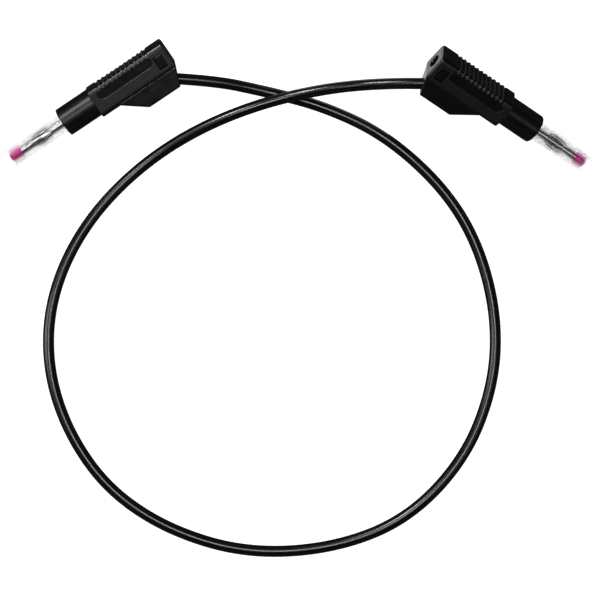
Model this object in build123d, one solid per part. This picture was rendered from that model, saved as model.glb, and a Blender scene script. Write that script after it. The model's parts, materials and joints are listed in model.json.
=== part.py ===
from build123d import *
import os
from math import cos, pi, radians, sin, tan

# A patch lead: one flexible cord with a stackable 4 mm spring plug on each end.
# Each plug has a lantern-spring pin inside a clear sleeve that slides back into the nose,
# a handle with a cable cover on one narrow side, and a 4 mm socket in its rear face.
#
# Every plug piece is drawn once in the plug's own frame, in mm: X runs back from the nose's
# front face along the pin's axis, Y points towards the cable cover, Z across the thickness.
# Both plugs then lie on the surface Z = 0, and the cord runs between their cable covers.

# ---- fits ----
seat_gap = 0.03              # pressed or glued round seats
running_gap = 0.05           # round faces and shoulders that move on each other
loose_gap = 0.10             # pieces that only pass each other

# ---- pin ----
pin_diameter = 4.0
pin_reach = 23.0             # nose face to the pin's tip
tip_length = 4.9
tip_edge = 1.3
tip_spigot_diameter = 2.2
tip_spigot_length = 3.3
ring_length = 0.25
cage_sheet = 0.25
cage_bulge = 0.65            # how far the leaves stand proud of the collars
cage_front_collar = 4.6
cage_leaf_length = 7.9
cage_leaves = 6
cage_slot = 0.55

# ---- clear sleeve and its spring ----
sleeve_room = 0.25           # round the bowed leaves
sleeve_wall = 0.9
sleeve_past_tip = 1.3        # how far the sleeve's front edge stands beyond the pin's tip
sleeve_edge = 0.25
flange_length = 2.5
flange_proud = 0.35
sleeve_travel = 20.0
spring_wire = 0.5
spring_inset = 0.3           # middle of the wire, inside the sleeve's outside
spring_coils = 9

# ---- nose barrel ----
nose_length = 13.5
nose_wall = 1.2              # round the room for the sleeve's flange
nose_edge = 0.5
nose_lip = 1.25
barrel_wall = 0.4
barrel_floor = 1.4

# ---- handle ----
handle_length = 32.3
flat_wall = 0.77             # over the barrel, at the two flats
rib_wall = 0.92              # over the barrel, on the ribbed narrow side
cover_side_wall = 1.22       # over the barrel, on the cable cover's side
handle_corner = 2.1
handle_front_edge = 0.35
handle_rear_edge = 0.85
waist_length = 23.0
waist_depth = 0.3
rib_count = 11
rib_pitch = 1.9
rib_groove = 1.15
rib_depth = 0.4
ribs_start = 3.7             # handle's front to the first groove
thumb_length = 23.4
thumb_width = 3.8
thumb_depth = 0.35
thumb_start = 2.5            # handle's front to the recess
thumb_centre_y = -1.6

# ---- rear insert with its two latch arms ----
plate_thickness = 1.2
plate_margin = 0.1           # the plate's side edge to where the rear corner's cut starts
plate_rim = 1.0              # the handle's rim at the plate's upper and lower edges
plate_corner = 1.5
mouth_clearance = 0.2        # the mouth is this much wider all round than the socket
mouth_bevel = 0.35
window_length = 3.4
window_width = 5.2
window_centre_y = 0.5
window_from_rear = 2.3       # rear face to the window's rear edge
arm_thickness = 0.6
pad_margin = 0.45            # gap shown round the pad in its window
pad_recess = 0.2             # how far the pad lies below the handle's flat

# ---- contact body ----
tube_clearance = 0.2         # between the tube and the sleeve that slides over it
tube_front = 1.0
block_wall = 1.22            # round the sprung bush
socket_spare = 1.0           # depth beyond a full pin
socket_web = 1.0
spring_bush_length = 5.0
spring_bush_depth = 0.5      # its outside, beyond the socket's bore
spring_bush_sheet = 0.22
lobe_diameter = 0.5

# ---- cable cover, cord end and crimp ----
# places along X are measured forwards from the rear face, and places along Y outwards from
# the handle's side under the cover
cover_inset = 0.5            # the cover's flat sides lie this far inside the handle's flats
cover_edge = 0.7
cover_corner = 1.2           # slope to bottom
cover_rear_corner = 0.3      # bottom to the cord's exit
cover_proud = 6.3            # handle's side to the cover's flat bottom
slope_foot = 24.6
slope_top = 16.5
bottom_end = 3.1
corner_cut = 1.2             # where the rear corner's cut meets the exit's face
corner_cut_rise = 1.35
corner_cut_drop = 1.55       # where that cut leaves the rear face, inwards
cable_angle = 37.0           # between the cord and the pin's axis
exit_mouth = 2.33
exit_mouth_rise = 4.3
cord_diameter = 4.1
exit_shoulder = 1.6          # exit mouth to the strain relief's seat
relief_length = 3.4
relief_wall = 0.78
jacket_inside = 5.5          # jacket inside the cover
conductor_diameter = 1.9
straight_out = 12.0          # the cord runs straight this far out of each cover
crimp_gap = 0.8              # bare conductor between the jacket and the crimp barrel
crimp_length = 4.3
crimp_wall = 0.6
crimp_root = 2.2             # how far the crimp barrel runs on inside the contact body
conductor_length = 4.8

# ---- worked out from the values above ----
pin_r = pin_diameter / 2
sleeve_bore_r = pin_r + cage_bulge + sleeve_room
sleeve_r = sleeve_bore_r + sleeve_wall
sleeve_reach = pin_reach + sleeve_past_tip
spring_r = sleeve_r - spring_inset
flange_r = sleeve_r + flange_proud
barrel_bore_r = flange_r + running_gap
barrel_r = barrel_bore_r + barrel_wall
barrel_seat_r = barrel_r + seat_gap
nose_r = barrel_bore_r + nose_wall
tube_r = sleeve_bore_r - tube_clearance
socket_r = pin_r + running_gap
bush_r = socket_r + spring_bush_depth
block_r = bush_r + seat_gap + block_wall
mouth_r = socket_r + mouth_clearance
cord_r = cord_diameter / 2

flange_front = nose_lip + running_gap
flange_rear = flange_front + flange_length
spring_solid = (spring_coils + 1) * spring_wire
spring_length = sleeve_travel + spring_solid
barrel_floor_x = flange_rear + spring_length
block_front = barrel_floor_x + barrel_floor
rear_x = nose_length + handle_length
block_rear = rear_x - plate_thickness
socket_floor = rear_x - pin_reach - socket_spare
bush_front = block_rear - spring_bush_length

cage_front = -(pin_reach - tip_length) + ring_length + running_gap
cage_rear = tube_front - running_gap
cage_bore_r = pin_r - cage_sheet
core_r = cage_bore_r - running_gap

handle_outer_y = barrel_seat_r + cover_side_wall
rib_side_y = -(barrel_seat_r + rib_wall)
handle_width = handle_outer_y - rib_side_y
handle_offset = (handle_outer_y + rib_side_y) / 2
flat_z = barrel_seat_r + flat_wall
handle_thickness = 2 * flat_z
window_rear = rear_x - window_from_rear
window_front = window_rear - window_length
arm_inner_z = block_r + loose_gap
arm_outer_z = arm_inner_z + arm_thickness

slope_start = rear_x - slope_foot
slope_end = rear_x - slope_top
bottom_rear_x = rear_x - bottom_end
chamfer_x = rear_x - corner_cut
exit_x = rear_x - exit_mouth
cover_depth = handle_outer_y + cover_proud
chamfer_y = handle_outer_y + corner_cut_rise
chamfer_start_y = handle_outer_y - corner_cut_drop
exit_y = handle_outer_y + exit_mouth_rise
cover_thickness = handle_thickness - 2 * cover_inset
plate_width = 2 * (chamfer_start_y - plate_margin)
plate_height = handle_thickness - 2 * plate_rim

relief_rear = exit_shoulder + relief_length
crimp_start = jacket_inside + crimp_gap
crimp_bore_r = conductor_diameter / 2 + seat_gap
crimp_r = crimp_bore_r + crimp_wall
crimp_end = (exit_y - block_r) / sin(radians(cable_angle)) + crimp_root
cable_pocket_r = cord_r + relief_wall + 2 * seat_gap


# ---- shapes that several pieces share ----
def rod(start, end, radius):
    """A round bar on the pin's axis."""
    return extrude(Plane.YZ.offset(start) * Circle(radius), end - start)


def bar(start, end, width, height, corner, centre_y=0.0):
    """A bar along X with a rounded rectangle for its section."""
    section = Pos(centre_y, 0) * RectangleRounded(width, height, corner)
    return extrude(Plane.YZ.offset(start) * section, end - start)


def block(x_range, y_range, z_range):
    """A plain block between the given limits."""
    size = [high - low for low, high in (x_range, y_range, z_range)]
    centre = [(high + low) / 2 for low, high in (x_range, y_range, z_range)]
    return Pos(*centre) * Box(*size)


def cable_bar(start, end, radius):
    """A round bar on the cord's axis, measured inwards from the exit mouth."""
    inwards = (-cos(radians(cable_angle)), -sin(radians(cable_angle)), 0)
    axis = Plane(origin=(exit_x, exit_y, 0), x_dir=(0, 0, 1), z_dir=inwards)
    return extrude(axis.offset(start) * Circle(radius), end - start)


def handle_outline():
    """The handle's outer form, with nothing cut into it."""
    form = bar(nose_length, rear_x, handle_width, handle_thickness, handle_corner, handle_offset)
    form = fillet(form.faces().sort_by(Axis.X)[0].edges(), handle_front_edge)
    form = fillet(form.faces().sort_by(Axis.X)[-1].edges(), handle_rear_edge)
    return form - rear_chamfer()


def rear_chamfer():
    """What the slanting cut takes off the rear corner above the cord."""
    far = handle_thickness
    profile = Polyline(
        (rear_x, chamfer_start_y),
        (chamfer_x, chamfer_y),
        (chamfer_x + far, chamfer_y + far),
        (rear_x + far, chamfer_start_y),
        close=True,
    )
    return extrude(make_face(profile), far, both=True)


# ---- the plug's pieces ----
def pin_core():
    ring_front = -(pin_reach - tip_length)
    core = rod(ring_front, socket_floor - socket_web - loose_gap, core_r)
    core += rod(ring_front, ring_front + ring_length, pin_r - seat_gap)
    return core + rod(ring_front - tip_spigot_length, ring_front, tip_spigot_diameter / 2)


def pin_tip():
    tip = rod(-pin_reach, -(pin_reach - tip_length), pin_r - seat_gap)
    tip = fillet(tip.faces().sort_by(Axis.X)[0].edges(), tip_edge)
    hole_front = -(pin_reach - tip_length) - tip_spigot_length - loose_gap
    return tip - rod(hole_front, -(pin_reach - tip_length), tip_spigot_diameter / 2 + seat_gap)


def lantern_cage():
    """A rolled spring sheet: a collar at each end, and bowed leaves between them."""
    leaf_front = cage_front + cage_front_collar
    leaf_rear = leaf_front + cage_leaf_length
    crown = (leaf_front + leaf_rear) / 2
    outline = []
    for radius in (pin_r, cage_bore_r):
        outline += [
            Line((cage_front, radius), (leaf_front, radius)),
            ThreePointArc((leaf_front, radius), (crown, radius + cage_bulge), (leaf_rear, radius)),
            Line((leaf_rear, radius), (cage_rear, radius)),
        ]
    outline += [
        Line((cage_front, cage_bore_r), (cage_front, pin_r)),
        Line((cage_rear, cage_bore_r), (cage_rear, pin_r)),
    ]
    cage = revolve(make_face(outline), Axis.X)
    slot = block((leaf_front, leaf_rear), (0, pin_diameter), (-cage_slot / 2, cage_slot / 2))
    for leaf in range(cage_leaves):
        cage -= Rot(360 / cage_leaves * leaf, 0, 0) * slot
    return cage


def clear_sleeve():
    sleeve = rod(-sleeve_reach, flange_front, sleeve_r)
    sleeve = fillet(sleeve.faces().sort_by(Axis.X)[0].edges(), sleeve_edge)
    sleeve += rod(flange_front, flange_rear, flange_r)
    return sleeve - rod(-sleeve_reach, flange_rear, sleeve_bore_r)


def sleeve_spring():
    """Return spring, from the sleeve's flange to the barrel's floor."""
    height = spring_length - spring_wire - 2 * seat_gap
    start = flange_rear + spring_wire / 2 + seat_gap
    coil = Helix(
        pitch=height / spring_coils,
        height=height,
        radius=spring_r,
        center=(start, 0, 0),
        direction=(1, 0, 0),
    )
    wire = Plane(origin=coil @ 0, z_dir=coil % 0) * Circle(spring_wire / 2)
    return sweep(wire, path=coil, is_frenet=True)


def nose_barrel():
    """Guides the sleeve; its thinner rear part is held in the handle."""
    barrel = rod(0, nose_length, nose_r)
    barrel = fillet(barrel.faces().sort_by(Axis.X)[0].edges(), nose_edge)
    barrel += rod(nose_length, block_front, barrel_r)
    barrel -= rod(0, nose_lip, sleeve_r + running_gap)
    barrel -= rod(nose_lip, barrel_floor_x, barrel_bore_r)
    return barrel - rod(barrel_floor_x, block_front, tube_r + seat_gap)


def handle():
    shell = handle_outline()
    waist_radius = waist_length**2 / (8 * waist_depth) + waist_depth / 2
    ribs_length = (rib_count + 1) * rib_pitch
    first_rib_x = nose_length + ribs_start
    waist_x = first_rib_x + ribs_length / 2
    waist = Cylinder(waist_radius, 2 * handle_thickness)
    shell -= Pos(waist_x, rib_side_y + waist_depth - waist_radius, 0) * waist
    # finger grooves wrap the narrow side, as far as the flats' edges
    groove = bar(0, rib_groove, 2 * handle_width, 2 * handle_thickness, handle_corner, handle_offset)
    groove -= bar(
        0,
        rib_groove,
        handle_width - 2 * rib_depth,
        handle_thickness - 2 * rib_depth,
        handle_corner - rib_depth,
        handle_offset,
    )
    groove &= block(
        (0, rib_groove),
        (rib_side_y - handle_width, rib_side_y + handle_corner),
        (-handle_thickness, handle_thickness),
    )
    for rib in range(rib_count + 1):
        shell -= Pos(first_rib_x + rib * rib_pitch, 0, 0) * groove
    # thumb recesses and latch windows, in both flats
    thumb = extrude(SlotOverall(thumb_length, thumb_width), thumb_depth)
    thumb_x = nose_length + thumb_start + thumb_length / 2
    for side in (1, -1):
        floor_z = flat_z - thumb_depth if side > 0 else -flat_z
        shell -= Pos(thumb_x, thumb_centre_y, floor_z) * thumb
    window_y = (window_centre_y - window_width / 2, window_centre_y + window_width / 2)
    shell -= block((window_front, window_rear), window_y, (-flat_z, flat_z))
    # inside: the barrel's seat, the contact body's room, the latch arms' way in, the plate's seat
    shell -= rod(nose_length, block_front, barrel_seat_r)
    shell -= rod(block_front, block_rear, block_r + loose_gap)
    arm_room_z = arm_outer_z + loose_gap
    shell -= block((window_front, block_rear), window_y, (-arm_room_z, arm_room_z))
    shell -= bar(
        block_rear,
        rear_x,
        plate_width + 2 * seat_gap,
        plate_height + 2 * seat_gap,
        plate_corner + seat_gap,
    )
    return shell - cable_bar(exit_shoulder, crimp_end, cable_pocket_r)


def cable_cover():
    """The wedge on the handle's narrow side, which turns the cord away from the pin's axis."""
    slope = (slope_end - slope_start) / (cover_depth - handle_outer_y)
    root_y = handle_outer_y - handle_corner
    profile = Polyline(
        (slope_start - slope * handle_corner, root_y),
        (slope_end, cover_depth),
        (bottom_rear_x, cover_depth),
        (chamfer_x, chamfer_y),
        (rear_x, chamfer_start_y),
        (rear_x, root_y),
        close=True,
    )
    face = make_face(profile)
    front_corner, rear_corner = face.vertices().filter_by_position(
        Axis.Y, cover_depth - 0.01, cover_depth + 0.01
    ).sort_by(Axis.X)
    face = fillet(front_corner, cover_corner)
    rear_corner = face.vertices().sort_by_distance(rear_corner)[0]
    face = fillet(rear_corner, cover_rear_corner)
    cover = extrude(face, cover_thickness / 2, both=True)
    side_edges = [
        edge
        for side in cover.faces().filter_by(Axis.Z)
        for edge in side.edges()
        if edge.center().Y > handle_outer_y
    ]
    cover = fillet(side_edges, cover_edge)
    solid_handle = bar(0, 2 * rear_x, handle_width, handle_thickness, handle_corner, handle_offset)
    cover -= solid_handle
    cover -= cable_bar(-cord_diameter, exit_shoulder, cord_r + loose_gap)
    return cover - cable_bar(exit_shoulder, rear_x, cable_pocket_r)


def rear_insert():
    """Closes the handle's rear round the socket's mouth; its pads snap into the windows."""
    insert = bar(block_rear, rear_x, plate_width, plate_height, plate_corner)
    insert -= rod(block_rear, rear_x, mouth_r)
    mouth = insert.edges().filter_by(GeomType.CIRCLE).group_by(Axis.X)[-1]
    insert = chamfer(mouth.sort_by(SortBy.RADIUS)[-1], mouth_bevel)
    arm_front = window_front + seat_gap
    arm_half = window_width / 2 - loose_gap
    pad_half = window_width / 2 - pad_margin
    for side in (1, -1):
        arm_z = sorted((side * arm_inner_z, side * arm_outer_z))
        arm_y = (window_centre_y - arm_half, window_centre_y + arm_half)
        insert += block((arm_front, block_rear), arm_y, arm_z)
        pad_z = sorted((side * arm_outer_z, side * (flat_z - pad_recess)))
        pad_x = (window_front + pad_margin, window_rear - seat_gap)
        pad_y = (window_centre_y - pad_half, window_centre_y + pad_half)
        insert += block(pad_x, pad_y, pad_z)
    return insert


def contact_body():
    """One turned piece: pin carrier, stacking socket and crimp barrel for the conductor."""
    body = rod(tube_front, block_front, tube_r) + rod(block_front, block_rear, block_r)
    body += cable_bar(crimp_start, crimp_end, crimp_r)
    body -= rod(tube_front, socket_floor - socket_web, core_r + seat_gap)
    body -= rod(socket_floor, block_rear, socket_r)
    body -= rod(bush_front, block_rear, bush_r + seat_gap)
    return body - cable_bar(crimp_start, crimp_start + crimp_length, crimp_bore_r)


def socket_spring():
    """A sprung bush behind the socket's mouth, with three lobes that grip a pin."""
    ring = Circle(bush_r) - Circle(bush_r - spring_bush_sheet)
    lobe_r = lobe_diameter / 2
    lobe_centre = socket_r + seat_gap + lobe_r
    for lobe in range(3):
        ring += Rot(0, 0, 120 * lobe) * Pos(lobe_centre, 0) * Circle(lobe_r)
    return extrude(Plane.YZ.offset(bush_front) * ring, spring_bush_length - seat_gap)


def conductor():
    """The stripped strands between the jacket's end and the crimp barrel's bottom."""
    return cable_bar(jacket_inside, jacket_inside + conductor_length, conductor_diameter / 2)


def strain_relief():
    outer = cable_bar(exit_shoulder, relief_rear, cord_r + seat_gap + relief_wall)
    return outer - cable_bar(exit_shoulder, relief_rear, cord_r + seat_gap)


plug_pieces = {
    "handle": handle(),
    "nose_barrel": nose_barrel(),
    "cable_cover": cable_cover(),
    "rear_insert": rear_insert(),
    "contact_body": contact_body(),
    "socket_spring": socket_spring(),
    "pin_core": pin_core(),
    "lantern_cage": lantern_cage(),
    "pin_tip": pin_tip(),
    "clear_sleeve": clear_sleeve(),
    "sleeve_spring": sleeve_spring(),
    "conductor": conductor(),
    "strain_relief": strain_relief(),
}

# ---- how the two plugs lie ----
# heading: the way the plug's rear points, from +X; pitch: its rear is up by this much;
# turn: about its own axis, where 180 brings the other flat up
attitudes = {
    "left": {"nose": (-85.1, -5.4), "heading": 33.5, "pitch": 4.2, "turn": 195.0},
    "right": {"nose": (84.8, -8.1), "heading": 147.6, "pitch": 18.0, "turn": -33.0},
}


def attitude(nose, heading, pitch, turn, height=0.0):
    return Pos(*nose, height) * Rot(0, 0, heading) * Rot(0, -pitch, 0) * Rot(turn, 0, 0)


def resting_place(lie):
    """The plug's place, with its lowest point on the surface."""
    tilted = attitude(**lie)
    lowest = min((tilted * piece).bounding_box().min.Z for piece in plug_pieces.values())
    return attitude(**lie, height=-lowest)


def on_cord_axis(place, outwards):
    """A point on the cord's axis, this far out of the cable cover's exit mouth."""
    angle = radians(cable_angle)
    x = exit_x + outwards * cos(angle)
    y = exit_y + outwards * sin(angle)
    return (place * Pos(x, y, 0)).position


places = {side: resting_place(lie) for side, lie in attitudes.items()}

# ---- the cord ----
# Points of its route from the left plug to the right one. It runs straight out of each cover
# and comes down to the surface, and its last stretch crosses over the first in a long hump.
lying = cord_r + seat_gap
over = 3 * cord_diameter - cord_r
route = [
    on_cord_axis(places["left"], -jacket_inside),
    on_cord_axis(places["left"], straight_out),
    (-13.0, 6.4, lying),
    (8.9, 0.9, lying),
    (31.8, -9.9, lying),
    (53.2, -29.4, lying),
    (65.7, -50.7, lying),
    (72.0, -77.0, lying),
    (70.3, -102.0, lying),
    (60.0, -127.5, lying),
    (39.5, -149.0, lying),
    (13.0, -159.5, lying),
    (-18.0, -161.5, lying),
    (-45.8, -153.6, lying),
    (-67.8, -139.6, lying),
    (-82.3, -120.3, lying),
    (-90.5, -98.0, lying),
    (-91.1, -75.0, lying),
    (-84.1, -53.1, lying),
    (-70.5, -33.0, lying),
    (-50.0, -15.0, lying),
    (-25.0, -2.2, over),
    (4.0, 6.2, over),
    on_cord_axis(places["right"], straight_out),
    on_cord_axis(places["right"], -jacket_inside),
]


def bend_radii(points):
    """Each bend takes 0.45 of the shorter of its two runs."""
    radii = []
    for before, here, after in zip(points, points[1:], points[2:]):
        shorter = min((here - before).length, (after - here).length)
        turn = (here - before).get_angle(after - here)
        radii.append(0.45 * shorter / tan(radians(turn) / 2))
    return radii


def cord():
    points = [Vector(*point) for point in route]
    radii = bend_radii(points)
    path = FilletPolyline(*points, radius=radii)
    tube = sweep(Plane(origin=path @ 0, z_dir=path % 0) * Circle(cord_r), path=path)
    expected = pi * cord_r**2 * path.length
    print("ends", points[:2], points[-2:])
    print("bend radii", [round(radius, 1) for radius in radii])
    print("cord length", round(path.length, 1), "volume", round(tube.volume, 1), "of", round(expected, 1))
    return tube


# ---- write every piece where it lies ----
os.makedirs("parts", exist_ok=True)
for side, place in places.items():
    for name, piece in plug_pieces.items():
        export_step(place * piece, f"parts/{side}_{name}.step")
    print(side, "cord leaves at", on_cord_axis(place, 0))
export_step(cord(), "parts/cord.step")
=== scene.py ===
# A stackable 4 mm test lead: one flexible black cord with a spring-pin plug on each end.
# The sections follow the lead as it is put together, from the cut cord to the plugs' black
# mouldings, and end with the floor, the lights and the camera.
import json
from math import pi

import bpy
from mathutils import Matrix, Vector


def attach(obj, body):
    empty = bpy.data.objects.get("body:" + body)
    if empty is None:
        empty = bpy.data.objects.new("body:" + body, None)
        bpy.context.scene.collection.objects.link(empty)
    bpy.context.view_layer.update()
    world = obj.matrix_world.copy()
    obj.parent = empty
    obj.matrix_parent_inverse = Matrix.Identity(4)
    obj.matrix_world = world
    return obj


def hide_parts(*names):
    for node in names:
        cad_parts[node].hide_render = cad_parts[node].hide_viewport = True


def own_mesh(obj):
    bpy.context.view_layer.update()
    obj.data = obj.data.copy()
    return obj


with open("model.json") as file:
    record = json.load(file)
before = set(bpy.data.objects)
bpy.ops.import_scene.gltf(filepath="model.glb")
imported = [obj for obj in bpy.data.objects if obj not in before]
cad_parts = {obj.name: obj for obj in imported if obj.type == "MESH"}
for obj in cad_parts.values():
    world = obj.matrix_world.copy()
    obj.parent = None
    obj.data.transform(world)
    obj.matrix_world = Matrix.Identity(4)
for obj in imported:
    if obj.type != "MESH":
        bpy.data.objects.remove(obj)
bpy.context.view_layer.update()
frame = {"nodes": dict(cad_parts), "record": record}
nodes = frame["nodes"]
mounts = {mount["name"]: mount for mount in frame["record"]["mounts"]}
sides = ("left", "right")

# ---- the cord ----
# A length of fine stranded copper in a soft black PVC jacket. The jacket is extruded, so it is
# smooth and fairly glossy, with faint drawn lines along it. It lies in one wide loop on the
# floor, and its last stretch passes over its first.
cord_diameter = 0.0041
lying = 0.00208              # height of the cord's middle where it lies on the floor
over = 0.007                 # and at the top of the hump over the crossing
cord_route = [
    (-0.048847, 0.010673, 0.006648),
    (-0.031442, 0.009993, 0.004953),
    (-0.0130, 0.0064, lying),
    (0.0089, 0.0009, lying),
    (0.0318, -0.0099, lying),
    (0.0532, -0.0294, lying),
    (0.0657, -0.0507, lying),
    (0.0720, -0.0770, lying),
    (0.0703, -0.1020, lying),
    (0.0600, -0.1275, lying),
    (0.0395, -0.1490, lying),
    (0.0130, -0.1595, lying),
    (-0.0180, -0.1615, lying),
    (-0.0458, -0.1536, lying),
    (-0.0678, -0.1396, lying),
    (-0.0823, -0.1203, lying),
    (-0.0905, -0.0980, lying),
    (-0.0911, -0.0750, lying),
    (-0.0841, -0.0531, lying),
    (-0.0705, -0.0330, lying),
    (-0.0500, -0.0150, lying),
    (-0.0250, -0.0022, over),
    (0.0040, 0.0062, over),
    (0.031923, 0.008202, 0.018454),
    (0.049375, 0.007587, 0.019591),
]
pvc_blacks = ((0.0022, 0.0022, 0.0024), (0.0045, 0.0045, 0.0048))
pvc_polish = (0.20, 0.32)
pvc_grain = 2600.0           # the scale of a pattern, which is about 1 / its features' size
pvc_grain_depth = 0.000001
pvc_handling = 60.0
drawn_line_stretch = (6.0, 90.0, 1.0)
drawn_line_depth = 0.000003
plastic_ior = 1.5            # for the jacket and the black mouldings


def new_material(name):
    """A node material, its tree and its shader."""
    material = bpy.data.materials.new(name)
    material.use_nodes = True
    tree = material.node_tree
    return material, tree, tree.nodes["Principled BSDF"]


def set_inputs(tree, node, inputs):
    """Gives each named input of a node its value or its link."""
    for name, value in inputs.items():
        if isinstance(value, bpy.types.NodeSocket):
            tree.links.new(value, node.inputs[name])
        else:
            node.inputs[name].default_value = value


def add_node(tree, kind, inputs=None, **settings):
    """A new node with its settings made and its inputs given."""
    node = tree.nodes.new(kind)
    for setting, value in settings.items():
        setattr(node, setting, value)
    set_inputs(tree, node, inputs or {})
    return node


def noise(tree, where, scale, detail=3.0, roughness=0.55):
    """Cloudy variation from 0 to 1, with features about 1 / scale across."""
    inputs = {"Vector": where, "Scale": scale, "Detail": detail, "Roughness": roughness}
    return add_node(tree, "ShaderNodeTexNoise", inputs).outputs["Fac"]


def stretched(tree, where, scale):
    """The coordinates, multiplied along each of their own directions."""
    inputs = {"Vector": where, "Scale": scale}
    return add_node(tree, "ShaderNodeMapping", inputs).outputs["Vector"]


def spread(tree, factor, low, high, start=0.3, end=0.7):
    """The part of the factor from start to end, made to run from low to high."""
    inputs = {
        "Value": factor,
        "From Min": start,
        "From Max": end,
        "To Min": low,
        "To Max": high,
    }
    return add_node(tree, "ShaderNodeMapRange", inputs).outputs["Result"]


def mix_colour(tree, factor, first, second):
    """The first colour at 0 and the second at 1, each a red, green and blue or a link."""
    node = add_node(tree, "ShaderNodeMix", data_type="RGBA")
    for name, value in {"Factor": factor, "A": first, "B": second}.items():
        socket = next(s for s in node.inputs if s.name == name and s.enabled)
        if isinstance(value, bpy.types.NodeSocket):
            tree.links.new(value, socket)
        else:
            socket.default_value = (*value, 1.0)
    return next(s for s in node.outputs if s.enabled)


def clouded(tree, cloud, colours):
    """A colour that drifts between two, as the cloudy variation does."""
    return mix_colour(tree, spread(tree, cloud, 0.0, 1.0), *colours)


def bump(tree, height, depth, under=None):
    """A normal from a height of 0 to 1 that stands for this depth in metres."""
    inputs = {"Height": height, "Strength": 1.0, "Distance": depth}
    if under is not None:
        inputs["Normal"] = under
    return add_node(tree, "ShaderNodeBump", inputs).outputs["Normal"]


def cord_pvc():
    """Glossy black jacket: fine grain, lines drawn along it, and clouds from handling."""
    material, tree, shader = new_material("cord_pvc")
    own = add_node(tree, "ShaderNodeTexCoord").outputs
    grain = noise(tree, own["Object"], pvc_grain, 2.0)
    lines = noise(tree, stretched(tree, own["UV"], drawn_line_stretch), 1.0, 2.0)
    handled = noise(tree, own["Object"], pvc_handling, 4.0)
    fine = bump(tree, grain, pvc_grain_depth)
    finish = {
        "Base Color": clouded(tree, handled, pvc_blacks),
        "Roughness": spread(tree, handled, *pvc_polish),
        "Normal": bump(tree, lines, drawn_line_depth, fine),
        "IOR": plastic_ior,
    }
    set_inputs(tree, shader, finish)
    return material


cord_line = bpy.data.curves.new("patch_cord", "CURVE")
cord_line.dimensions = "3D"
spline = cord_line.splines.new("NURBS")
spline.points.add(len(cord_route) - 1)
for point, place in zip(spline.points, cord_route):
    point.co = (*place, 1.0)
spline.order_u = 3
spline.use_endpoint_u = True
cord_line.resolution_u = 12
cord_line.bevel_depth = cord_diameter / 2
cord_line.bevel_resolution = 6
cord_line.use_fill_caps = True
patch_cord = bpy.data.objects.new("patch_cord", cord_line)
bpy.context.scene.collection.objects.link(patch_cord)
cord_line.materials.append(cord_pvc())
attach(patch_cord, "lead")
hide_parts("cord")

# ---- where each plug lies ----
# A plug's own directions: back along the pin, out towards the cable cover, and across its
# thickness. Its start is in the middle of the nose's front face.
socket_middle = 0.0307       # nose face to the middle of the stacking socket


def plug_place(side):
    """The plug's start and directions, from its socket's axis and its end of the cord."""
    socket = mounts[side + "_stacking_socket"]
    back = Vector(socket["axis"]).normalized()
    start = Vector(socket["pos_m"]) - socket_middle * back
    ends = cord_route[:2] if side == "left" else cord_route[:-3:-1]
    out = Vector(ends[1]) - Vector(ends[0])
    out = (out - out.dot(back) * back).normalized()
    turned = Matrix((back, out, back.cross(out))).transposed().to_4x4()
    return Matrix.Translation(start) @ turned


places = {side: plug_place(side) for side in sides}
backs = {side: places[side].to_3x3() @ Vector((1, 0, 0)) for side in sides}


def plug_coordinates(tree, side):
    """Object coordinates turned to the plug's own directions."""
    inputs = {
        "Vector": add_node(tree, "ShaderNodeTexCoord").outputs["Object"],
        "Location": places[side].to_translation(),
        "Rotation": places[side].to_euler(),
    }
    return add_node(tree, "ShaderNodeMapping", inputs, vector_type="TEXTURE").outputs["Vector"]


def paint(name, material):
    """Gives a CAD node its finish."""
    materials = nodes[name].data.materials
    materials.clear()
    materials.append(material)


# ---- the crimped end ----
# The jacket is stripped back, the copper strands are crimped in the contact body, and a soft
# rubber sleeve grips the jacket behind the cover's mouth.
copper_colours = ((0.32, 0.12, 0.06), (0.90, 0.48, 0.32))
copper_roughness = 0.32
strand_waves = 1100.0
strand_unevenness = 0.6
strand_depth = 0.00008
rubber_colours = ((0.02, 0.02, 0.02), (0.05, 0.05, 0.048))
rubber_roughness = 0.75
rubber_bloom = 900.0
rubber_grain_depth = 0.00002


def copper_strands(side):
    """Bare copper with the strands' twist in its colour and relief."""
    material, tree, shader = new_material(side + "_copper_strands")
    inputs = {
        "Vector": plug_coordinates(tree, side),
        "Scale": strand_waves,
        "Distortion": strand_unevenness,
    }
    wave = add_node(tree, "ShaderNodeTexWave", inputs, bands_direction="DIAGONAL")
    wires = wave.outputs["Fac"]
    finish = {
        "Base Color": mix_colour(tree, wires, *copper_colours),
        "Normal": bump(tree, wires, strand_depth),
        "Metallic": 1.0,
        "Roughness": copper_roughness,
    }
    set_inputs(tree, shader, finish)
    return material


def relief_rubber(side):
    """Dull black rubber with a pale bloom."""
    material, tree, shader = new_material(side + "_relief_rubber")
    bloom = noise(tree, plug_coordinates(tree, side), rubber_bloom)
    finish = {
        "Base Color": clouded(tree, bloom, rubber_colours),
        "Normal": bump(tree, bloom, rubber_grain_depth),
        "Roughness": rubber_roughness,
    }
    set_inputs(tree, shader, finish)
    return material


for side in sides:
    paint(side + "_conductor", copper_strands(side))
    paint(side + "_strain_relief", relief_rubber(side))

# ---- the contact body and its sprung bush ----
# One turned brass piece, bright nickel plated, which carries the pin and is bored for the
# stacking socket. A rolled bronze bush behind the socket's mouth grips the next plug's pin.
nickel = ((0.66, 0.65, 0.63), (0.76, 0.75, 0.73))
body_polish = (0.16, 0.30)
bronze = ((0.34, 0.25, 0.14), (0.48, 0.36, 0.21))
bush_polish = (0.22, 0.38)
turning_stretch = (9000.0, 60.0, 60.0)
turning_depth = 0.000004
plating_clouds = 450.0


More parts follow.
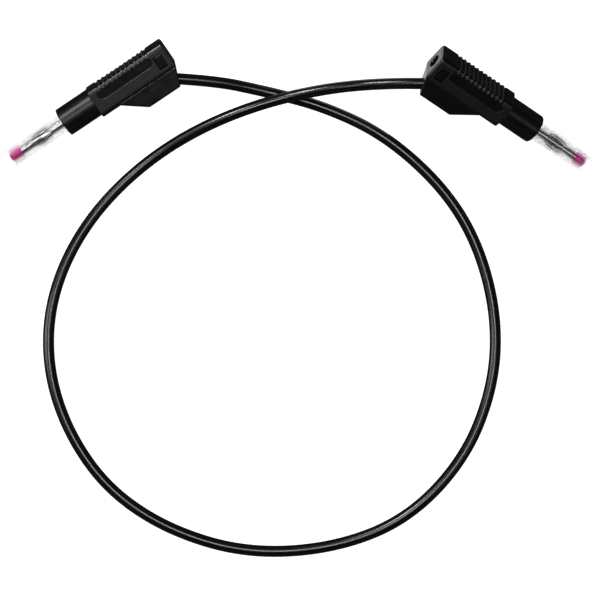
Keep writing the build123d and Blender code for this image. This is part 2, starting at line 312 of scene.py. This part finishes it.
def turned_metal(side, name, colours, polish):
    """Metal with turning marks round the pin's axis."""
    material, tree, shader = new_material(f"{side}_{name}")
    where = plug_coordinates(tree, side)
    rings = noise(tree, stretched(tree, where, turning_stretch), 1.0, 4.0)
    cloud = noise(tree, where, plating_clouds, 4.0)
    finish = {
        "Base Color": clouded(tree, cloud, colours),
        "Roughness": spread(tree, rings, *polish),
        "Normal": bump(tree, rings, turning_depth),
        "Metallic": 1.0,
    }
    set_inputs(tree, shader, finish)
    return material


for side in sides:
    paint(side + "_contact_body", turned_metal(side, "turned_nickel", nickel, body_polish))
    paint(side + "_socket_spring", turned_metal(side, "rolled_bronze", bronze, bush_polish))

# ---- the pin: core, lantern cage and insulated tip ----
# A plated core with a narrow ring behind its tip. A rolled and slotted spring sheet turns on
# it, its leaves bowed out to grip a socket, and a magenta plastic tip closes the front.
core_polish = (0.18, 0.28)
sheet_nickel = ((0.70, 0.70, 0.70), (0.80, 0.79, 0.78))
sheet_polish = (0.20, 0.30)
sheet_clouds = 700.0
leaf_line_stretch = (300.0, 9000.0, 9000.0)
leaf_line_depth = 0.000003
magenta = ((0.42, 0.032, 0.19), (0.52, 0.046, 0.24))
tip_polish = (0.28, 0.40)
tip_flow_stretch = (250.0, 700.0, 700.0)
tip_grain = 5000.0
tip_grain_depth = 0.000004
tip_glow = 0.15              # share of the light that passes into the plastic
tip_glow_reach = (0.0008, 0.0003, 0.0004)


def spring_nickel(side):
    """Thin plated sheet: bright, with fine draw lines along the leaves."""
    material, tree, shader = new_material(side + "_spring_nickel")
    where = plug_coordinates(tree, side)
    drawn = noise(tree, stretched(tree, where, leaf_line_stretch), 1.0, 3.0)
    finish = {
        "Base Color": clouded(tree, noise(tree, where, sheet_clouds, 3.0), sheet_nickel),
        "Roughness": spread(tree, drawn, *sheet_polish),
        "Normal": bump(tree, drawn, leaf_line_depth),
        "Metallic": 1.0,
    }
    set_inputs(tree, shader, finish)
    return material


def magenta_tip(side):
    """Slightly translucent magenta plastic with flow marks along it."""
    material, tree, shader = new_material(side + "_magenta_tip")
    where = plug_coordinates(tree, side)
    flow = noise(tree, stretched(tree, where, tip_flow_stretch), 1.0, 3.0)
    finish = {
        "Base Color": clouded(tree, flow, magenta),
        "Roughness": spread(tree, flow, *tip_polish),
        "Normal": bump(tree, noise(tree, where, tip_grain), tip_grain_depth),
        "Subsurface Weight": tip_glow,
        "Subsurface Radius": tip_glow_reach,
    }
    set_inputs(tree, shader, finish)
    return material


for side in sides:
    paint(side + "_pin_core", turned_metal(side, "core_nickel", nickel, core_polish))
    paint(side + "_lantern_cage", spring_nickel(side))
    paint(side + "_pin_tip", magenta_tip(side))

# ---- the sleeve's return spring ----
# Drawn steel wire, wound open. It pushes the clear sleeve forward again, and shortens between
# the sleeve's flange and the barrel's floor as the sleeve goes back.
spring_front = 0.0038        # nose face to the spring's front end
spring_rear = 0.0288
spring_radius = 0.0035       # to the middle of the wire
spring_wire = 0.0005
spring_end_room = 0.6 * spring_wire
spring_turns = 9
wire_facets = 10
facets_per_turn = 36
steel_colours = ((0.42, 0.42, 0.43), (0.62, 0.61, 0.60))
steel_polish = (0.22, 0.36)
steel_marks = 6000.0


def spring_steel(side):
    """Drawn steel wire, a little uneven in tone."""
    material, tree, shader = new_material(side + "_spring_steel")
    drawn = noise(tree, plug_coordinates(tree, side), steel_marks, 3.0)
    finish = {
        "Base Color": clouded(tree, drawn, steel_colours),
        "Roughness": spread(tree, drawn, *steel_polish),
        "Metallic": 1.0,
    }
    set_inputs(tree, shader, finish)
    return material


def select_only(piece):
    bpy.ops.object.select_all(action="DESELECT")
    bpy.context.view_layer.objects.active = piece
    piece.select_set(True)


def apply_all(piece):
    """Applies the piece's modifiers, and its place, so that its object sits at the origin."""
    select_only(piece)
    for modifier in list(piece.modifiers):
        bpy.ops.object.modifier_apply(modifier=modifier.name)
    bpy.ops.object.transform_apply(location=True, rotation=True, scale=True)


def face_outwards(piece):
    select_only(piece)
    bpy.ops.object.mode_set(mode="EDIT")
    bpy.ops.mesh.select_all(action="SELECT")
    bpy.ops.mesh.normals_make_consistent(inside=False)
    bpy.ops.object.mode_set(mode="OBJECT")


for side in sides:
    bpy.ops.object.select_all(action="DESELECT")
    bpy.ops.mesh.primitive_circle_add(
        vertices=wire_facets,
        radius=spring_wire / 2,
        fill_type="NGON",
        location=(0, 0, 0),
        rotation=(0, 0, 0),
    )
    spring = bpy.context.active_object
    spring.name = side + "_return_spring"
    spring.data.transform(Matrix.Translation((0, spring_radius, 0)))
    wound = spring.modifiers.new("wound", "SCREW")
    wound.axis = "X"
    wound.angle = 2 * pi * spring_turns
    wound.screw_offset = spring_rear - spring_front - 2 * spring_end_room
    wound.steps = facets_per_turn * spring_turns
    wound.render_steps = facets_per_turn * spring_turns
    wound.use_merge_vertices = False
    first_turn = Matrix.Translation((spring_front + spring_end_room, 0, 0))
    spring.matrix_world = places[side] @ first_turn
    apply_all(spring)
    face_outwards(spring)
    select_only(spring)
    bpy.ops.object.shade_smooth()
    spring.data.materials.append(spring_steel(side))
    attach(spring, "lead")
    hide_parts(side + "_sleeve_spring")
    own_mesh(spring)

# ---- the clear sleeve ----
# Turned from clear plastic tube and polished, with a flange at its rear that stops it inside
# the nose. It hides the pin from fingers and slides back when the plug is pushed home.
sleeve_tint = (0.97, 0.98, 0.985, 1.0)
sleeve_polish = (0.01, 0.05)
scuff_stretch = (120.0, 2500.0, 2500.0)
scuffs_from, scuffs_to = 0.45, 0.75
sleeve_ior = 1.47
sleeve_presence = 0.40       # how much of the thin wall is seen at all


def clear_plastic(side):
    """Clear plastic with long fine scuffs from sliding."""
    material, tree, shader = new_material(side + "_clear_plastic")
    where = plug_coordinates(tree, side)
    scuffs = noise(tree, stretched(tree, where, scuff_stretch), 1.0, 3.0)
    finish = {
        "Roughness": spread(tree, scuffs, *sleeve_polish, scuffs_from, scuffs_to),
        "Base Color": sleeve_tint,
        "Transmission Weight": 1.0,
        "IOR": sleeve_ior,
        "Alpha": sleeve_presence,
    }
    set_inputs(tree, shader, finish)
    return material


for side in sides:
    paint(side + "_clear_sleeve", clear_plastic(side))

# ---- the black mouldings ----
# Nose barrel, handle, cable cover and rear insert are moulded in one black plastic. The
# handle's flats have a fine matt texture and the rest is smoother, and the crests of the finger
# ribs carry a painted highlight, a lighter grey painted along them.
deep_blacks = ((0.0015, 0.0015, 0.0016), (0.0035, 0.0035, 0.0037))
flats_black = (0.006, 0.006, 0.0063)
flats_duller = 0.24          # added to the roughness on the flats
# painted highlight: the lighter grey that is painted along the finger-rib crests
crest_highlight_grey = (0.032, 0.032, 0.033)
crest_highlight_amount = (0.5, 1.0)     # how strongly the crests get the painted highlight, from place to place
moulded_grain = 5200.0
moulded_clouds = 260.0
eased_edge = 0.00025
nose_polish, nose_grain = (0.30, 0.38), 0.000005
handle_polish, handle_grain = (0.26, 0.30), 0.000006
cover_polish, cover_grain = (0.28, 0.36), 0.000008
insert_polish, insert_grain = (0.24, 0.30), 0.000004
flats_from = 0.00524         # pin's axis to just under the handle's flats
ribs_from = -0.0036          # pin's axis to just under the ribs, away from the cover
first_rib = 0.01835          # nose face to the first rib's front
rib_pitch = 0.0019
rib_share = 0.395            # of the pitch; the rest is groove
rib_count = 11
crest_share = 0.3            # of the rib's width, each side of its middle, gets the full painted highlight


def maths(tree, operation, first, second=0.0):
    """The result of a sum on two values, each a number or a link."""
    node = add_node(tree, "ShaderNodeMath", operation=operation)
    for socket, value in zip(node.inputs, (first, second)):
        if isinstance(value, bpy.types.NodeSocket):
            tree.links.new(value, socket)
        else:
            socket.default_value = value
    return node.outputs["Value"]


def on_the_flats(tree, where):
    """1 on the handle's two outer flats, and 0 in the thumb recesses and on the ribs."""
    across = add_node(tree, "ShaderNodeSeparateXYZ", {"Vector": where}).outputs["Z"]
    return maths(tree, "GREATER_THAN", maths(tree, "ABSOLUTE", across), flats_from)


def on_the_ribs(tree, where):
    """1 along the crest of each finger rib, falling to 0 at its edges and everywhere else."""
    place = add_node(tree, "ShaderNodeSeparateXYZ", {"Vector": where}).outputs
    rib = maths(tree, "DIVIDE", maths(tree, "SUBTRACT", place["X"], first_rib), rib_pitch)
    from_crest = maths(tree, "SUBTRACT", maths(tree, "FRACT", rib), rib_share / 2)
    full, none = crest_share * rib_share, rib_share / 2
    crest = spread(tree, maths(tree, "ABSOLUTE", from_crest), 1.0, 0.0, full, none)
    past_first = maths(tree, "GREATER_THAN", rib, 0.0)
    before_last = maths(tree, "LESS_THAN", rib, float(rib_count))
    on_ribbed_side = maths(tree, "LESS_THAN", place["Y"], ribs_from)
    ribbed = maths(tree, "MULTIPLY", past_first, before_last)
    return maths(tree, "MULTIPLY", maths(tree, "MULTIPLY", crest, ribbed), on_ribbed_side)


def moulded_black(side, name, polish, grain_depth, matt_flats_and_crest_highlight=False):
    """Black plastic with a moulded grain, and on the handle its matt flats and a painted highlight
    along the rib crests.
    """
    material, tree, shader = new_material(f"{side}_{name}")
    where = plug_coordinates(tree, side)
    grain = noise(tree, where, moulded_grain, 2.0)
    cloud = noise(tree, where, moulded_clouds, 4.0)
    colour = clouded(tree, cloud, deep_blacks)
    roughness = spread(tree, cloud, *polish)
    if matt_flats_and_crest_highlight:
        flats = on_the_flats(tree, where)
        colour = mix_colour(tree, flats, colour, flats_black)
        duller = maths(tree, "MULTIPLY", flats, flats_duller)
        roughness = maths(tree, "ADD", roughness, duller)
        # painted highlight: the rib crests are painted a lighter grey, more in some places than
        # others
        crest_highlight_strength = spread(tree, cloud, *crest_highlight_amount)
        crest_highlight_mask = maths(tree, "MULTIPLY", on_the_ribs(tree, where), crest_highlight_strength)
        colour = mix_colour(tree, crest_highlight_mask, colour, crest_highlight_grey)
    eased = add_node(tree, "ShaderNodeBevel", {"Radius": eased_edge}, samples=16)
    finish = {
        "Base Color": colour,
        "Roughness": roughness,
        "Normal": bump(tree, grain, grain_depth, eased.outputs["Normal"]),
        "IOR": plastic_ior,
    }
    set_inputs(tree, shader, finish)
    return material


for side in sides:
    nose_black = moulded_black(side, "nose_black", nose_polish, nose_grain)
    handle_black = moulded_black(side, "handle_black", handle_polish, handle_grain, matt_flats_and_crest_highlight=True)
    cover_black = moulded_black(side, "cover_black", cover_polish, cover_grain)
    insert_black = moulded_black(side, "insert_black", insert_polish, insert_grain)
    paint(side + "_nose_barrel", nose_black)
    paint(side + "_handle", handle_black)
    paint(side + "_cable_cover", cover_black)
    paint(side + "_rear_insert", insert_black)

# ---- floor, lights and camera ----
# The lead lies on a white sheet that glows enough to stay white. Glossy finishes don't reflect
# the sheet, only small cards of it under the pins and behind the right plug. Four soft lights
# and a dim room shape the black, and the camera looks straight down.
floor_size = 8.0
floor_height = -0.00002
card_height = -0.00001
sheet_white = (0.30, 0.30, 0.30, 1.0)
sheet_glow = 0.97
sheet_roughness = 0.9
pin_card_span = (-0.030, -0.0005)    # along the pin's axis, from the nose face
pin_card_half_width = 0.012
rear_card_span = (0.047, 0.110)
rear_card_half_width = 0.030

bpy.ops.object.select_all(action="DESELECT")
bpy.ops.mesh.primitive_plane_add(size=floor_size, location=(0, 0, floor_height))
floor = bpy.context.active_object
floor.name = "floor"
white, white_tree, white_shader = new_material("white_sheet")
sheet_finish = {
    "Base Color": sheet_white,
    "Roughness": sheet_roughness,
    "Specular IOR Level": 0.0,
    "Emission Color": (1.0, 1.0, 1.0, 1.0),
    "Emission Strength": sheet_glow,
}
set_inputs(white_tree, white_shader, sheet_finish)
floor.data.materials.append(white)
floor.visible_glossy = False


def white_card(name, side, span, half_width):
    """A piece of the white sheet along a plug's axis, which does show in its finish."""
    bpy.ops.mesh.primitive_plane_add(size=1.0, location=(0, 0, 0))
    card = bpy.context.active_object
    card.name = name
    start, end = span
    under = places[side] @ Vector(((start + end) / 2, 0, 0))
    card.scale = (end - start, 2 * half_width, 1.0)
    card.rotation_euler = (0, 0, backs[side].to_2d().angle_signed(Vector((1.0, 0.0))))
    card.location = (under.x, under.y, card_height)
    card.data.materials.append(white)


for side in sides:
    white_card(side + "_pin_card", side, pin_card_span, pin_card_half_width)
white_card("right_rear_card", "right", rear_card_span, rear_card_half_width)

middle = Vector((0.0, -0.05, 0.0))


def soft_light(name, direction, distance, size, power):
    """A rectangular softbox, this far from the lead's middle and turned to it."""
    light = bpy.data.lights.new(name, "AREA")
    light.shape = "RECTANGLE"
    light.size, light.size_y = size
    light.energy = power
    lamp = bpy.data.objects.new(name, light)
    lamp.location = middle + Vector(direction).normalized() * distance
    lamp.rotation_euler = (middle - lamp.location).to_track_quat("-Z", "Y").to_euler()
    bpy.context.scene.collection.objects.link(lamp)


soft_light("key", (-0.39, 0.54, 0.76), 1.3, (0.22, 0.22), 9.0)
soft_light("left_box", (-0.80, 0.0, 0.55), 1.1, (0.30, 0.9), 5.0)
soft_light("top_box", (0.0, 0.05, 1.0), 1.4, (0.5, 0.3), 8.0)
soft_light("right_box", (0.50, -0.32, 0.81), 1.3, (0.35, 0.35), 0.6)

# The room is dim, brightest just above the horizon and nearly dark overhead.
horizon_light = 0.22
overhead_light = 0.02
overhead_from = 0.45         # sine of the angle above which it is that dark
below_share = 0.25           # of the horizon's light, in the directions below the floor
below_to, full_from = -0.10, 0.05
world = bpy.data.worlds.new("studio")
bpy.context.scene.world = world
world.use_nodes = True
room = world.node_tree
direction = add_node(room, "ShaderNodeTexCoord").outputs["Generated"]
height = add_node(room, "ShaderNodeSeparateXYZ", {"Vector": direction}).outputs["Z"]
above = spread(room, height, horizon_light, overhead_light, 0.0, overhead_from)
below = spread(room, height, below_share, 1.0, below_to, full_from)
room_light = {"Strength": maths(room, "MULTIPLY", above, below), "Color": (1.0, 1.0, 1.0, 1.0)}
set_inputs(room, room.nodes["Background"], room_light)

tone_gamma = 0.88            # darkens the middle tones
bpy.context.scene.view_settings.view_transform = "Standard"
bpy.context.scene.view_settings.gamma = tone_gamma

camera_height = 1.0
view_centre = (0.00045, -0.0695)
view_width = 0.21818         # what the view spans on the floor
camera_data = bpy.data.cameras.new("camera")
camera_data.sensor_width = 36.0
camera_data.lens = camera_data.sensor_width * camera_height / view_width
camera_data.clip_start = 0.01
camera_data.clip_end = 20.0
camera = bpy.data.objects.new("camera", camera_data)
camera.location = (*view_centre, camera_height)
bpy.context.scene.collection.objects.link(camera)
bpy.context.scene.camera = camera
